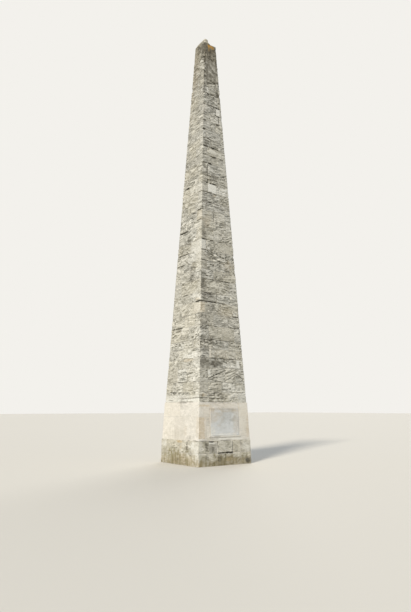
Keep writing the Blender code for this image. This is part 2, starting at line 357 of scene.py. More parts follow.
def lay_stone(course, start, end, low_z, high_z, on_ground, wear, tint):
    """Cut one stone: a worn, rounded face on a grid, and flat sides let into the wall."""
    face, mid_u, follow, run, to_joint = columns(course, start, end)
    edge = WEAR[wear].edge
    lot = course.rng.uniform(0, 1)

    # The lines of its foot and head, ragged, and further apart at an open joint
    ragged = noise(np.stack([run, run * 0, run * 0 + lot * STONES_APART], -1), 0.09, 5)
    gape_below = openness(face, mid_u, course.foot, course.gaps)
    gape_above = openness(face, mid_u, course.top, course.gaps_above)
    on_bed = low_z == course.foot and not on_ground
    foot_gap = on_bed * (BED + gape_below * OPEN_HEIGHT * (1 + 0.6 * ragged))
    foot_line = low_z + foot_gap + edge * 0.12 * (1 + ragged)
    head_line = high_z - edge * 0.12 * (1 - ragged) - gape_above * OPEN_HEIGHT * 0.4
    rise = spread(high_z - low_z, JOINT_STEPS, JOINT_STEPS, GRID_UP) / (high_z - low_z)
    z = foot_line + (head_line - foot_line) * rise[:, None]
    mid_half = course.half((course.foot + course.top) / 2)
    half = course.half(z)
    u = mid_u + follow * (half - mid_half)
    here = np.stack([np.broadcast_to(run, z.shape), z, np.full(z.shape, lot * STONES_APART)], -1)

    # How far its face is eaten back, with rounded edges, and where it is sooty
    marks = weather(face + z * 0, u, z, course.stains, course.patches, course.scars)
    worn, pits = erode(here, wear, course.rng.normal(0, math.radians(7)))
    # The darkness of the hollows is partly soot and partly painted shade, which stands in for the shade of
    # the relief
    marks["hollow_soot_and_shade"] = hollow_soot_and_shade_of(worn, wear) * (1 - marks["smooth"]) + 0.35 * marks["smooth"]
    worn = worn * (1 - 0.9 * marks["smooth"]) * (1 + 1.5 * marks["pit"]) + marks["deep"]
    chipped = edge * (1 + 0.9 * np.clip(noise(here, 0.06, 9), -0.6, 1))
    chipped = chipped + OPEN_EDGE * np.maximum(gape_below, gape_above)
    to_foot = np.where(on_ground, 1.0, z - foot_line)
    depth = worn + round_off(to_joint, np.minimum(to_foot, head_line - z), chipped)
    depth = depth + course.rng.uniform(-0.3, 1) * WEAR[wear].setback * (1 - marks["smooth"])
    sooty_foot = gape_below * (1 - smooth_step(0.002, OPEN_SOOT, z - foot_line))
    sooty_head = gape_above * (1 - smooth_step(0.002, OPEN_SOOT, head_line - z))
    sooty_pits = pits * (0.2 + 0.6 * marks["pit"]) * (1 - marks["smooth"]) * (wear != "sawn")
    for sooty in (sooty_foot, sooty_head, sooty_pits):
        marks["soot"] = np.maximum(marks["soot"], sooty)

    # Where its points lie: on the flat of the face, or round a worn arris
    side = np.sign(u)
    away = half - np.abs(u)
    corner = (face + (mid_u > 0)) % 4
    round_at = np.array(course.arris)[corner] * (1 + 0.35 * noise(here, 0.13, 10))
    on_arris = (away < round_at) & (follow * side > 0.5)
    turn = np.where(on_arris, (1 - away / round_at) * math.pi / 4, 0.0)
    centre = half - round_at
    across = np.where(on_arris, side * (centre + round_at * np.sin(turn)), u)
    out = np.where(on_arris, centre + round_at * np.cos(turn), half)
    grid = place_on(face, across - side * np.sin(turn) * depth, out - np.cos(turn) * depth, z)
    grid = split_off(grid, noise(here, 0.05, 4), course.spalls)

    # Its flat back inside the wall, with a point where it turns an arris
    turns = [at for at in range(1, len(face)) if face[at] != face[at - 1]]
    backs = [0, *turns, len(face) - 1]
    back_half = mid_half - STONE_DEPTH
    back_u = np.clip(mid_u[backs], -back_half, back_half)
    out_back = np.full(len(backs), back_half)
    low = place_on(face[backs], back_u, out_back, foot_line[backs])
    high = place_on(face[backs], back_u, out_back, head_line[backs])
    marks["lot"] = lot
    marks["tint"] = tint + 0.15 * noise(here, 0.3, 12)
    flat = {}
    for name in MARKS:
        on_grid = np.broadcast_to(marks[name], z.shape).ravel()
        flat[name] = np.concatenate([on_grid, np.full(2 * len(backs), on_grid.mean())])
    faces = close_grid(*z.shape, len(backs))
    course.add(np.concatenate([grid.reshape(-1, 3), low, high]), faces, 0, flat)


def mortar_marks(face, u, z, rough, *tables):
    """What mortar carries: the marks of its place, on one tone and a medium hollow
    darkness, partly soot and partly painted shade.
    """
    marks = weather(face, u, z, *tables)
    marks["hollow_soot_and_shade"] = 0.45 + 0.3 * rough
    marks["lot"] = np.full(z.shape, 0.3)
    marks["tint"] = marks["lot"]
    return marks


def lay_mortar_bed(course):
    """The mortar under a course: a thin slab, raked back where a joint is open.

    Under the lowest course it lies on the ground.
    """
    half = course.half(course.foot)
    count = int(2 * half / MORTAR_STEP)
    share = np.tile(np.linspace(-1, 1, count, endpoint=False), 4)
    face = np.repeat(np.arange(4), count)
    raked = openness(face, share * half, course.foot, course.gaps)
    rough = noise(np.stack([share * half, face * 1.0, share * 0 + course.foot], -1), 0.05, 14)
    depth = MORTAR_DEPTH * (1 + rough) + raked * (OPEN_DEPTH - MORTAR_DEPTH)
    corner = np.array(course.arris)[(face + (share > 0)) % 4]
    depth = depth + np.clip(1 - (1 - np.abs(share)) * half / corner, 0, 1) * corner * 0.3
    out = half - depth
    low = np.full(len(share), max(course.foot - MORTAR_LAP, 0.0))
    high = course.foot + BED + MORTAR_LAP + raked * OPEN_HEIGHT
    marks = mortar_marks(face, share * half, low, rough, course.stains)
    marks["soot"] = np.maximum(marks["soot"], raked)
    size = len(share)
    lower = list(range(size))
    faces = [lower[::-1], [at + size for at in lower]]
    for at in lower:
        after = (at + 1) % size
        faces.append([at, after, after + size, at + size])
    points = np.concatenate([place_on(face, share * out, out, low), place_on(face, share * out, out, high)])
    course.add(points, faces, 1, {name: np.tile(marks[name], 2) for name in MARKS})


def lay_perpend(course, face, u, low_z, high_z):
    """The mortar in one upright joint, as a thin tongue between two stones."""
    wide = PERPEND / 2 + MORTAR_LAP
    z = np.linspace(low_z + BED / 2, high_z, max(3, int((high_z - low_z) / MORTAR_STEP)))
    rough = noise(np.stack([z * 0 + u, z, z * 0 + face], -1), 0.06, 15)
    out = course.half(z) - MORTAR_DEPTH * (1 + rough)
    back = np.full(len(z), course.half(high_z) - STONE_DEPTH)
    number = np.full(len(z), face)
    tables = (course.stains, course.patches, course.scars)
    marks = mortar_marks(number, z * 0 + u, z, rough, *tables)
    corners = ((-wide, back), (-wide, out), (wide, out), (wide, back))
    lines = [place_on(number, z * 0 + u + beside, reach, z) for beside, reach in corners]
    size = len(z)
    faces = [[0, size, 2 * size, 3 * size], [4 * size - 1, 3 * size - 1, 2 * size - 1, size - 1]]
    for line in range(4):
        beside = (line + 1) % 4
        for at in range(size - 1):
            a = line * size + at
            b = beside * size + at
            faces.append([a, a + 1, b + 1, b])
    course.add(np.concatenate(lines), faces, 1, {name: np.tile(marks[name], 4) for name in MARKS})


def joints_round(course, face_joints):
    """Where the perpends of a course are: listed for a face, or as bonded quoins.

    The quoins lie long and short in turn on each side of an arris.
    """
    width = 2 * course.half(course.foot)
    found = []
    for face in range(4):
        if (course.number, face) in face_joints:
            found.extend((face, u / 100) for u in face_joints[course.number, face])
            continue
        share = LONG_QUOIN if (course.number + face) % 2 == 0 else SHORT_QUOIN
        legs = share * width * course.rng.uniform(0.85, 1.15, 2)
        gap = width - legs.sum()
        count = max(1, round(gap / STONE_LENGTH))
        places = -width / 2 + legs[0] + gap * np.arange(count + 1) / count
        places[1:-1] += course.rng.uniform(-0.05, 0.05, count - 1)
        if gap < QUOINS_MEET:
            places = places[:1] + gap / 2
        found.extend((face, u) for u in places)
    return found


def dress(node, suffix, points, faces, kinds, marks, materials):
    """Make a piece of gathered points and faces, which stands for a node."""
    mesh = bpy.data.meshes.new(node + suffix)
    mesh.from_pydata(points.tolist(), [], faces)
    for material in materials:
        mesh.materials.append(material)
    mesh.polygons.foreach_set("material_index", kinds)
    for name in MARKS:
        values = np.broadcast_to(marks.get(name, 0.0), len(points)).astype(np.float32)
        mesh.attributes.new(name, "FLOAT", "POINT").data.foreach_set("value", values)
    mesh.shade_smooth()
    mesh.set_sharp_from_angle(angle=math.radians(50))
    piece = bpy.data.objects.new(node + suffix, mesh)
    bpy.context.scene.collection.objects.link(piece)
    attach(piece, "root")
    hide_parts(node)
    return piece


def linear(hex_colour):
    """A colour written as sRGB hex, as the linear values that a shader takes."""
    parts = [int(hex_colour[at : at + 2], 16) / 255 for at in (1, 3, 5)]
    return (*[p / 12.92 if p <= 0.04045 else ((p + 0.055) / 1.055) ** 2.4 for p in parts], 1.0)


def add_node(tree, kind, settings, links):
    """Add a shader node, set its own fields or sockets, and link into its sockets."""
    made = tree.nodes.new("ShaderNode" + kind)
    for name, value in settings.items():
        if isinstance(name, str) and hasattr(made, name):
            setattr(made, name, value)
        else:
            made.inputs[name].default_value = value
    for name, source in links.items():
        tree.links.new(source, made.inputs[name])
    return made


# The patterns in the stone, in millimetres across. The real grains of an oolite are
# under 1 mm, too fine to show from where it is seen, so the grit is drawn coarser.
BLOTCH_MM = 76.923
FINE_MM = 18.182
RUN_MM = 90.909
PORES_TO_A_GRAIN = 0.35
GRIT_RELIEF = 0.004


def limestone(name, washed_lit_ridge_hex, hollow_soot_and_shade_hex, warm_hex, roughness, grit_mm, blotch):
    """Weathered limestone: pale on the washed ridges, darker in the hollows. The ridges
    are partly a painted highlight and the hollows partly painted shade.

    Each stone has its own tint from the quarry. Shell grit, grit_mm across, and its
    pores make it matt and grainy. blotch is how far light and dark blotches depart
    from the relief. Soot, with a few marks of painted shade, algae, ochre and lichen
    lie over the stone.
    """
    material = bpy.data.materials.new(name)
    material.use_nodes = True
    tree = material.node_tree
    tree.nodes.clear()
    mark = {}
    for called in MARKS:
        mark[called] = add_node(tree, "Attribute", {"attribute_name": called}, {}).outputs["Fac"]

    def math_of(operation, a, b, c=0.0):
        sockets = {0: a, 1: b, 2: c}
        values = {at: value for at, value in sockets.items() if isinstance(value, float)}
        links = {at: value for at, value in sockets.items() if not isinstance(value, float)}
        return add_node(tree, "Math", {"operation": operation, **values}, links).outputs[0]

    def over(base, colour, factor):
        mixed = add_node(tree, "Mix", {"data_type": "RGBA", 7: linear(colour)}, {0: factor, 6: base})
        return mixed.outputs[2]

    def pattern_of(across_mm, vector, **more):
        settings = {"Scale": 1000 / across_mm, "Detail": 3.0, **more}
        return add_node(tree, "TexNoise", settings, {"Vector": vector}).outputs["Fac"]

    # Each stone has its own place in the patterns, shifted by its lot
    place = add_node(tree, "TexCoord", {}, {}).outputs["Object"]
    shift = add_node(tree, "VectorMath", {"operation": "SCALE", 0: (7.0, 3.0, 5.0)}, {3: mark["lot"]})
    own = add_node(tree, "VectorMath", {"operation": "ADD"}, {0: place, 1: shift.outputs[0]}).outputs[0]

    # Blotches lie flat along the bedding, and what runs down the wall is drawn out
    beds = add_node(tree, "Mapping", {"Scale": (1.0, 1.0, 2.8)}, {"Vector": own}).outputs[0]
    falls = add_node(tree, "Mapping", {"Scale": (1.0, 1.0, 0.13)}, {"Vector": place}).outputs[0]
    blotches = pattern_of(BLOTCH_MM, beds, Detail=4.0, Roughness=0.6)
    fine = pattern_of(FINE_MM, own, Detail=4.0, Roughness=0.6)
    runs = pattern_of(RUN_MM, falls)
    blotched = math_of("MULTIPLY_ADD", blotches, blotch, -0.5 * blotch)
    hollow_shade_mix = math_of("ADD", mark["hollow_soot_and_shade"], blotched)
    hollow_shade_mix = add_node(tree, "MapRange", {}, {"Value": hollow_shade_mix}).outputs[0]

    # From ridge to hollow: pale ridges are partly painted highlight, dark hollows partly painted shade
    shades = {"data_type": "RGBA", 6: linear(washed_lit_ridge_hex), 7: linear(hollow_soot_and_shade_hex)}
    colour = add_node(tree, "Mix", shades, {0: hollow_shade_mix}).outputs[2]
    colour = over(colour, warm_hex, math_of("MULTIPLY", mark["tint"], 0.35))
    grit = add_node(tree, "MapRange", {"To Min": 0.84, "To Max": 1.14}, {"Value": fine})
    toned = math_of("MULTIPLY", grit.outputs[0], math_of("MULTIPLY_ADD", mark["lot"], 0.09, 0.95))
    multiply = {"data_type": "RGBA", "blend_type": "MULTIPLY", 0: 1.0}
    colour = add_node(tree, "Mix", multiply, {6: colour, 7: toned}).outputs[2]

    # What has settled on it, where the soot colour also carries painted shade and the
    # pale one painted highlight: a colour, the pattern it keeps to, how much of it there
    # is where that pattern is 0, and how much more where it is 1
    rise = math_of("SUBTRACT", 1.0, hollow_shade_mix)
    for called, hex_colour, pattern, least, more in (
        ("pale", "#EAE7DB", rise, 0.45, 0.75),
        ("ochre", "#C2A46B", blotches, 0.10, 1.30),
        ("algae", "#857B55", runs, -0.55, 2.30),
        ("soot", "#544F43", hollow_shade_mix, 0.45, 0.75),
        ("lichen", "#B5852E", fine, -0.40, 2.40),
    ):
        laid = math_of("MULTIPLY", math_of("MULTIPLY_ADD", pattern, more, least), mark[called])
        held = add_node(tree, "Math", {"operation": "MINIMUM", 1: 0.92, "use_clamp": True}, {0: laid})
        colour = over(colour, hex_colour, held.outputs[0])

    pores = add_node(tree, "TexVoronoi", {"Scale": PORES_TO_A_GRAIN * 1000 / grit_mm}, {"Vector": own})
    both = math_of("MULTIPLY_ADD", pores.outputs["Distance"], 0.7, pattern_of(grit_mm, own))
    bump = add_node(tree, "Bump", {"Strength": 0.6, "Distance": GRIT_RELIEF}, {"Height": both})
    shader = add_node(
        tree,
        "BsdfPrincipled",
        {"Roughness": roughness, "IOR": 1.5},
        {"Base Color": colour, "Normal": bump.outputs[0]},
    )
    add_node(tree, "OutputMaterial", {}, {"Surface": shader.outputs[0]})
    return material


def clear_of_pocket(course, face, low_u, high_u):
    """The heights that a stone can fill between two places: all, or round the pocket."""
    if course.pocket is None:
        return [(course.foot, course.top)]
    at_face, half_width, low_z, high_z = course.pocket
    if face != at_face or low_u <= -half_width or high_u >= half_width:
        return [(course.foot, course.top)]
    heights = [(course.foot, min(low_z, course.top)), (max(high_z, course.foot), course.top)]
    return [(low, high) for low, high in heights if high - low > LEAST_HEIGHT]


def lay_course(course, materials, wear, joints):
    """Lay a whole course: its mortar bed, stones all the way round, and perpends."""
    on_ground = course.foot < 0.001
    round_it = joints_round(course, joints)
    for at, (face, u) in enumerate(round_it):
        after = round_it[(at + 1) % len(round_it)]
        start = (face, u + PERPEND / 2)
        end = (after[0], after[1] - PERPEND / 2)
        far_u = end[1] if after[0] == face else math.inf
        tint = course.rng.uniform(0, 1)
        kind = course.rng.choice(wear)
        for low, high in clear_of_pocket(course, face, start[1], far_u):
            lay_stone(course, start, end, low, high, on_ground, kind, tint)
        for low, high in clear_of_pocket(course, face, u, u):
            lay_perpend(course, face, u, low, high)
    lay_mortar_bed(course)
    points = np.concatenate(course.points)
    marks = {name: np.concatenate(course.marks[name]) for name in MARKS}
    dress(course.node, "_stones", points, course.faces, course.kinds, marks, materials)


# Squared limestone: warm grey cream and matt, dull in its hollows where soil stays
# and where painted shade lies
plinth_limestone = limestone("squared_limestone", "#E5E0D1", "#A09B88", "#CFC6AA", 0.92, 4.0, 1.5)
# Lime mortar: close to the stone, but greyer, more even and finer in its grain
lime_mortar = limestone("lime_mortar", "#DAD4C7", "#B3ADA0", "#C8BFAB", 0.95, 2.5, 1.3)

PLINTH_BATTER = 0.020
PLINTH_ARRIS = 0.022
PLINTH_JOINTS = {
    (1, FRONT): (-59, -32, 57),
    (2, FRONT): (-59, -32, 27, 57),
}
PLINTH_GAPS = rows_of({(2, FRONT): [(-26, 0, 80), (2, 29, 90)]})
PLINTH_STAINS = rows_of({
    ("algae", FRONT): [(-20, 10, 55, 28, 60), (50, 0, 120, 30, 65), (-68, 8, 42, 30, 85)],
    ("algae", LEFT): [(-20, 6, 115, 40, 90), (-62, 22, 45, 30, 60)],
    ("algae", SIDE): [(0, 5, 130, 40, 60)],
    ("algae", BACK): [(0, 10, 130, 60, 90)],
    ("ochre", LEFT): [(0, 66, 18, 5, 60), (10, 50, 8, 10, 25), (0, 8, 120, 26, 40)],
    ("ochre", FRONT): [(0, 6, 120, 20, 32), (-90, 8, 12, 10, 45), (15, 17, 22, 8, 35)],
    ("soot", FRONT): [
        (0, 10, 130, 24, 20), (-67, 52, 8, 18, 70), (-66, 25, 6, 18, 35), (-46, 48, 8, 8, 50),
        (-22, 18, 7, 12, 40), (58, 62, 6, 8, 50), (40, 45, 6, 14, 25), (84, 11, 12, 9, 100),
    ],
    ("soot", LEFT): [
        (0, 6, 120, 22, 15), (41, 55, 6, 14, 55), (60, 33, 7, 7, 50), (-3, 15, 7, 5, 55),
        (-40, 52, 30, 12, 15),
    ],
    ("pale", LEFT): [(88, 46, 22, 34, 80), (66, 56, 16, 14, 80), (-82, 54, 18, 14, 60)],
    ("pale", FRONT): [(-90, 45, 12, 30, 45), (78, 50, 18, 16, 50), (0, 52, 32, 16, 25)],
})
PLINTH_PATCHES = rows_of({
    ("smooth", FRONT): [(-59, -32, 30, 63, 80), (29, 95, 36, 66, 50)],
    ("soot", FRONT): [(-59, -32, 34, 61.5, 55)],
    ("pale", FRONT): [(-59, -37, 61, 65, 100)],
    ("algae", FRONT): [(-59, -28, 66.4, 68.6, 60)],
})
PLINTH_SCARS = rows_of({
    ("soot", FRONT): [
        (-58, 66.8, -42, 66.8, 2.4, 4), (-29, 66, -26, 50, 1.6, 1), (27, 36, 27, 66, 0.8, 0.6),
        (0, 31, 0, 20, 1.4, 0.8),
    ],
    ("pale", FRONT): [(-26, 31.8, 2, 31.8, 1.4, 0), (8, 32.2, 38, 31.8, 1.4, 0)],
})
for number in (1, 2):
    course = Course(f"plinth_course_{number}", number, PLINTH_BATTER, (PLINTH_ARRIS,) * 4, PLINTH_GAPS)
    course.stains = PLINTH_STAINS
    course.patches = PLINTH_PATCHES
    course.scars = PLINTH_SCARS
    lay_course(course, (plinth_limestone, lime_mortar), ["rubbed"], PLINTH_JOINTS)

# Base: two tall courses of sawn limestone, washed pale by rain, that carry the
# tablet on the front. The stones are large and their joints are tight.
BASE_BATTER = 0.043
BASE_ARRIS = 0.016
BASE_STAINS = rows_of({
    ("ochre", FRONT): [
        (-76, 168, 20, 4, 50), (55, 162, 5, 12, 30), (90, 100, 10, 40, 25), (75, 125, 22, 60, 16),
        (-62, 152, 30, 26, 14), (0, 170, 60, 10, 12),
    ],
    ("ochre", LEFT): [(88, 110, 10, 30, 20), (28, 98, 10, 22, 16)],
    ("soot", LEFT): [
        (5, 176, 30, 5, 30), (-10, 167, 60, 2, 20), (48, 76, 14, 8, 22), (-14, 154, 5, 6, 15),
    ],
    ("soot", FRONT): [(-10, 177, 90, 3, 20), (-60, 120, 7, 14, 20), (-55, 102, 4, 10, 20)],
    ("algae", LEFT): [(-20, 85, 70, 24, 16)],
    ("algae", FRONT): [(-50, 74, 30, 5, 30)],
    ("algae", BACK): [(0, 90, 120, 50, 35)],
    ("pale", FRONT): [(10, 74, 60, 6, 80), (72, 135, 18, 50, 60)],
})
BASE_PATCHES = rows_of({
    ("ochre", FRONT): [(-95, -73, 76, 135, 50), (-73, -65, 76, 135, 16)],
    ("pale", FRONT): [(52, 95, 70, 177.6, 20)],
})
BASE_JOINTS = {
    (1, FRONT): (-65, -51.8, 5, 51.8),
    (2, FRONT): (-75, -51.8, 2, 51.8),
}
# The pocket in the front takes the sill and, over it, the tablet
sill_low, sill_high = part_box("tablet_sill")
tablet_low, tablet_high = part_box("tablet")
POCKET = (FRONT, tablet_high.x + PERPEND, sill_low.z, tablet_high.z)
# Sawn limestone: the palest and smoothest stone here, creamy, with soft blotches
base_limestone = limestone("sawn_limestone", "#F0EADE", "#D6D1C4", "#E7DDC7", 0.88, 3.0, 1.5)
# Pale mortar: newer than the rest, nearly as light as the stone, so joints hardly show
base_mortar = limestone("pale_mortar", "#E5E1D5", "#C9C4B7", "#DAD1BE", 0.93, 2.5, 1.3)
for number in (1, 2):
    course = Course(f"base_course_{number}", number, BASE_BATTER, (BASE_ARRIS,) * 4, (), POCKET)
    course.stains = BASE_STAINS
    course.patches = BASE_PATCHES
    lay_course(course, (base_limestone, base_mortar), ["sawn"], BASE_JOINTS)
    if number == 1:
        base_wall = course


def lay_slab(node, low, high, steps, step, front_of, back, lot, stains, material):
    """One thin sawn stone let into the base wall: a gridded front, flat sides and back.

    front_of says how far a point of the front stands out of the wall, and back how
    far the stone reaches into it.
    """
    u_at = low.x + spread(high.x - low.x, steps, steps, step)
    z_at = low.z + spread(high.z - low.z, steps, steps, step)
    u, z = np.meshgrid(u_at, z_at)
    here = np.stack([u, z, u * 0 + lot], -1)
    worn = erode(here, "sawn", 0.0)[0]
    from_end = np.minimum(u - low.x, high.x - u)
    from_edge = np.minimum(z - low.z, high.z - z)
    out = base_wall.half(z) + front_of(here, worn, from_end, from_edge)
    front = place_on(np.zeros(z.shape, int), u, out, z).reshape(-1, 3)
    back_u = np.array((low.x, high.x) * 2)
    back_z = np.repeat((low.z, high.z), 2)
    behind = place_on(np.zeros(4, int), back_u, base_wall.half(back_z) - back, back_z)
    laid = weather(z * 0, u, z, stains)
    # The darkness of the slab's hollows is partly soot and partly painted shade
    laid["hollow_soot_and_shade"] = hollow_soot_and_shade_of(worn, "sawn")
    marks = {name: np.append(laid[name].ravel(), (0.3,) * 4) for name in MARKS[2:]}
    marks["lot"] = lot / STONES_APART
    faces = close_grid(*z.shape, 2)
    dress(node, "_stone", np.concatenate([front, behind]), faces, [0] * len(faces), marks, (material,))


# Sill: one narrow strip of the same limestone, let into the front of the base
# with its worn nose standing a little proud, to throw the rain off.
SILL_PROUD = 0.014
SILL_BACK = 0.100
SILL_NOSE = 0.007
SILL_STEPS = np.array((0, 0.002, 0.004, 0.007, 0.011))
SILL_HIGHLIGHT_AND_STAINS = rows_of({
    # The pale over the right half of the sill is a painted highlight along its lit nose; its left half is
    # made a little darker
    ("pale", FRONT): [(30, 81, 45, 10, 90)],
    ("soot", FRONT): [(-35, 81, 30, 10, 15)],
})


def sill_front(here, worn, from_end, from_edge):
    nose = SILL_NOSE * (1 + 0.6 * noise(here, 0.05, 9))
    return SILL_PROUD - np.clip(worn, 0, None) - round_off(from_end, from_edge, nose)


lay_slab(
    "tablet_sill",
    sill_low,
    sill_high,
    steps=SILL_STEPS,
    step=0.012,
    front_of=sill_front,
    back=SILL_BACK,
    lot=2.0,
    stains=SILL_HIGHLIGHT_AND_STAINS,
    material=base_limestone,
)

# Tablet: a slab of pale grey marble, honed smooth, with a flat raised border. It
# is let into the pocket above the sill and bedded in lime mortar.
TABLET_PROUD = 0.016
TABLET_BACK = 0.078
TABLET_EDGE = 0.004
BORDER_WIDTH = 0.030
BORDER_HEIGHT = 0.004
BORDER_SLOPE = 0.016
TABLET_STEPS = np.array((0, 0.002, 0.005, 0.014, 0.022, 0.026, 0.030, 0.034, 0.038, 0.046))
TABLET_STAINS_AND_EDGE_SHADOW = rows_of({
    # The thin dark line at u 49, z 100 to 144, is a painted shadow down the right edge of the tablet
    ("soot", FRONT): [(10, 138, 34, 36, 12), (49, 122, 1.2, 22, 25)],
    ("algae", FRONT): [(8, 142, 40, 34, 22)],
    ("ochre", FRONT): [(-42, 142, 36, 34, 34), (42, 125, 16, 60, 24), (0, 160, 60, 12, 30)],
    ("pale", FRONT): [(-44, 98, 14, 20, 60), (0, 86, 60, 5, 60)],
})


def tablet_front(here, worn, from_end, from_edge):
    from_rim = np.minimum(from_end, from_edge) - BORDER_WIDTH
    field = BORDER_HEIGHT * smooth_step(-BORDER_SLOPE / 2, BORDER_SLOPE / 2, from_rim)
    edge = round_off(from_end, from_edge, TABLET_EDGE)
    return TABLET_PROUD - field - edge - 0.6 * np.clip(worn, 0, None)


# Honed marble: a cool pale grey beside the cream stone, even, with a dull sheen
honed_marble = limestone("honed_grey_marble", "#E0E1DE", "#D2D3CE", "#DDDACF", 0.62, 2.0, 1.4)
lay_slab(
    "tablet",
    tablet_low,
    tablet_high,
    steps=TABLET_STEPS,
    step=0.014,
    front_of=tablet_front,
    back=TABLET_BACK,
    lot=5.0,
    stains=TABLET_STAINS_AND_EDGE_SHADOW,
    material=honed_marble,
)

# Shaft: thirty-five courses of limestone, once dressed flat. Frost and soot have
# etched the soft beds back, so that every stone has ridges, pits and worn edges.
SHAFT_COURSES = 35
# Weathered limestone: washed ridges nearly as pale as the base, partly a painted
# highlight, over grey hollows partly of painted shade, which gives the shaft its
# coarse, streaked look
shaft_limestone = limestone("weathered_limestone", "#EBE7D9", "#8B897D", "#CFC6AB", 0.93, 5.0, 1.7)
# Weathered mortar: a duller grey than the ridges, so joints fade into the stone
shaft_mortar = limestone("weathered_mortar", "#D6D2C5", "#9B978B", "#C1B8A2", 0.95, 3.0, 1.5)
first_low, first_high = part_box("shaft_course_01")
last_low, last_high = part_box(f"shaft_course_{SHAFT_COURSES}")
SHAFT_BATTER = (first_high.x - last_high.x) / (last_low.z - first_low.z)
SHAFT_GAPS = rows_of({
    (1, FRONT): [(-55, -25, 40)],
    (1, LEFT): [(-10, 60, 30)],
    (2, FRONT): [(25, 80, 20)],
    (2, LEFT): [(-65, -30, 50)],
    (3, LEFT): [(-27, 28, 30)],
    (3, FRONT): [(-30, 0, 30)],
    (5, FRONT): [(-60, 47, 50)],
    (5, LEFT): [(-10, 50, 20)],
    (7, FRONT): [(-78, -34, 30), (-17, 18, 30), (26, 54, 20)],
    (8, FRONT): [(36, 76, 40), (-55, -15, 40)],
    (8, LEFT): [(-74, -17, 60)],
    (9, FRONT): [(50, 74, 80)],
    (10, FRONT): [(-80, -13, 80), (-10, 22, 40)],
    (10, LEFT): [(50, 80, 90)],
    (11, FRONT): [(-66, -12, 40)],
    (11, LEFT): [(-20, 5, 40)],
    (12, FRONT): [(-62, -20, 50), (0, 45, 50)],
    (13, FRONT): [(30, 50, 30)],
    (14, FRONT): [(-65, -40, 50)],
    (14, LEFT): [(-60, -25, 60)],
    (15, FRONT): [(-65, -40, 60)],
    (15, LEFT): [(-60, 0, 50)],
    (16, FRONT): [(-60, -40, 90), (-30, -12, 60), (5, 20, 50)],
    (17, LEFT): [(-58, -11, 100)],
    (18, LEFT): [(35, 62, 40)],
    (18, FRONT): [(12, 28, 40)],
    (19, LEFT): [(36, 56, 90)],
    (19, FRONT): [(-58, -50, 60)],
    (20, FRONT): [(-30, -14, 60)],
    (20, LEFT): [(-40, -20, 30)],
    (21, FRONT): [(-30, -15, 90), (-52, -30, 50)],
    (21, LEFT): [(40, 56, 50)],
    (22, FRONT): [(-38, -29, 90), (-22, 6, 100)],
    (22, LEFT): [(-42, -20, 100)],
    (24, FRONT): [(-48, -33, 90), (-26, -10, 100)],
    (25, FRONT): [(-48, -30, 40), (-16, 8, 100), (24, 38, 80)],
    (26, FRONT): [(-43, -25, 100), (-18, 4, 100), (7, 20, 60)],
    (27, FRONT): [(-42, -10, 50)],
    (28, FRONT): [(-44, -32, 100)],
    (29, FRONT): [(-42, -28, 100), (14, 28, 90)],
    (30, FRONT): [(10, 34, 70)],
    (31, FRONT): [(-38, -28, 60), (-22, 10, 60), (14, 32, 100)],
    (32, FRONT): [(-25, -10, 60), (-5, 28, 90)],
    (34, FRONT): [(-10, 20, 90)],
})
SHAFT_JOINTS = {
    (2, FRONT): (-54, -5, 45),
    (3, FRONT): (-54, 10, 50),
    (5, FRONT): (-46, -40, 15, 55),
    (10, FRONT): (-12, 42),
    (15, FRONT): (-45, 0, 30),
    (15, LEFT): (-35, 10),
    (18, FRONT): (-12, 32),
    (21, FRONT): (-29, 4),
    (23, FRONT): (-29, 22),
    (29, FRONT): (-10, 30),
    (30, FRONT): (-37, 16, 32),
}
# Large stains that the shaft and the capstone share: soot and algae get stronger
# towards the top. Their half widths of 4 m take in the whole of a face.
RISING_STAINS = rows_of({
    ("soot", FRONT): [
        (0, 700, 400, 900, 15), (-75, 600, 55, 600, 14), (0, 1500, 400, 320, 50),
        (0, 1460, 400, 260, 40),
    ],
    ("soot", SIDE): [(0, 750, 400, 900, 20), (0, 1500, 400, 320, 45)],
    ("soot", BACK): [(0, 750, 400, 900, 25), (0, 1500, 400, 320, 50)],
    ("soot", LEFT): [
        (0, 800, 400, 650, 8), (0, 1500, 400, 320, 22), (0, 1500, 400, 700, 24), (0, 1460, 400, 180, 24),
        # The row at u 22, z 1380 is painted shade, which darkens the left face towards the rounded front
        # arris near the top
        (22, 1380, 16, 42, 40),
    ],
    ("algae", FRONT): [(0, 1480, 400, 200, 60)],
    ("algae", LEFT): [(0, 1480, 400, 200, 35)],
    ("algae", BACK): [(0, 1480, 400, 240, 50)],
    ("ochre", LEFT): [(-25, 1400, 40, 250, 25)],
    ("ochre", FRONT): [(0, 1365, 40, 60, 18)],
    ("pale", LEFT): [(-20, 1375, 12, 45, 30)],
})
